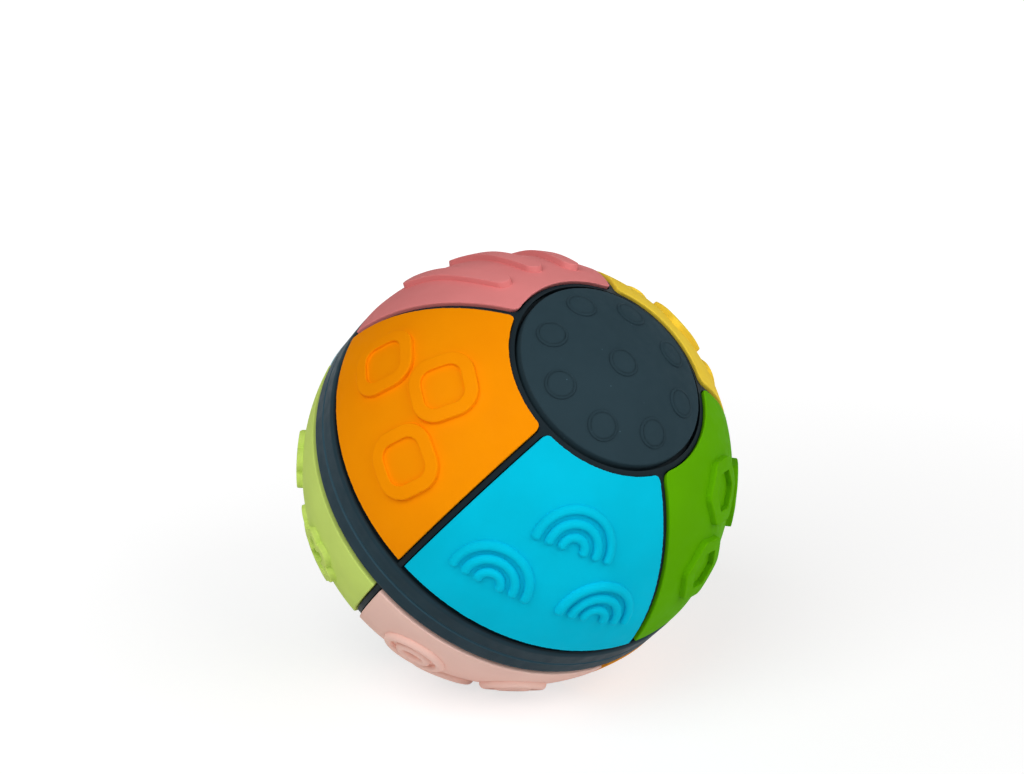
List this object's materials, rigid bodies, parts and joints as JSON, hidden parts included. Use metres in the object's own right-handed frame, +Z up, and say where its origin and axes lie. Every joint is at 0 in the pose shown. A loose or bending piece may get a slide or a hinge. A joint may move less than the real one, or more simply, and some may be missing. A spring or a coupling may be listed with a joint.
{
  "type": "sensory ball",
  "caption": "Baby's sensory ball: slate half frames that twist on a hidden axle, with soft coloured panels of raised patterns and a dotted cap at each pole.",
  "frame": {"origin": "the floor point under the ball, where it rests across the seam of two lower panels", "axes": "+Z is up, +X is to the right and +Y away from the viewer; the polar axis leans 45.5 degrees from +Z towards +X and -Y"},
  "size_m": [0.113, 0.1127, 0.1115],
  "materials": {
    "frame_slate": "satin moulded ABS",
    "cap_slate": "matte silicone",
    "bearing_white": "moulded acetal",
    "steel": "zinc plated",
    "silicone_green": "matte silicone",
    "silicone_yellow": "matte silicone",
    "silicone_rose": "matte silicone",
    "silicone_orange": "matte silicone",
    "silicone_blue": "matte silicone",
    "silicone_amber": "matte silicone",
    "silicone_cream": "matte silicone",
    "silicone_sky": "matte silicone",
    "silicone_lime": "matte silicone",
    "silicone_pink": "matte silicone"
  },
  "bodies": {
    "lower_half": {"lower_frame": "frame_slate", "lower_cap": "cap_slate", "panel_amber_ovals": "silicone_amber", "panel_cream_domes": "silicone_cream", "panel_sky_bars": "silicone_sky", "panel_lime_petals": "silicone_lime", "panel_pink_rings": "silicone_pink", "axle": "bearing_white", "thrust_washer": "bearing_white", "lower_washer": "steel", "lower_screw": "steel", "upper_washer": "steel", "upper_screw": "steel"},
    "upper_half": {"upper_frame": "frame_slate", "upper_cap": "cap_slate", "panel_green_hexagons": "silicone_green", "panel_yellow_triangles": "silicone_yellow", "panel_rose_waves": "silicone_rose", "panel_orange_squares": "silicone_orange", "panel_blue_rainbows": "silicone_blue"}
  },
  "joints": [
    {"name": "half_twist", "type": "hinge", "parent": "lower_half", "child": "upper_half", "pos_m": [0, 0, 0.055], "axis": [0.4679, -0.5383, 0.7009], "continuous": true}
  ]
}
